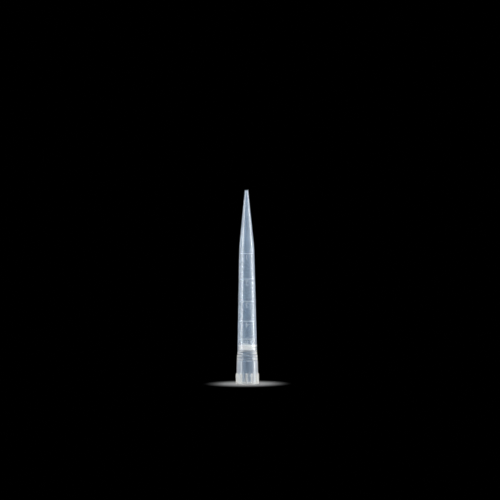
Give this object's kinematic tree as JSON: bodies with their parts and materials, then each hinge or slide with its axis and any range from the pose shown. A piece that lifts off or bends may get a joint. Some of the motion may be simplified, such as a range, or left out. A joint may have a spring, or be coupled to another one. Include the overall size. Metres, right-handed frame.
{
  "type": "pipette tip",
  "caption": "Long tapered translucent tip with a ribbed collar, a pressed-in filter disc and raised volume graduations, standing point up.",
  "frame": {"origin": "centre of the socket's open end, on the plane that the tip stands on", "axes": "+Z along the tip's axis, towards the point; -Y is the side that carries the graduations"},
  "size_m": [0.0152, 0.0152, 0.125],
  "materials": {
    "tip_plastic": "satin",
    "filter_plastic": "matte"
  },
  "bodies": {
    "root": {"tip_body": "tip_plastic", "filter": "filter_plastic"}
  },
  "joints": []
}
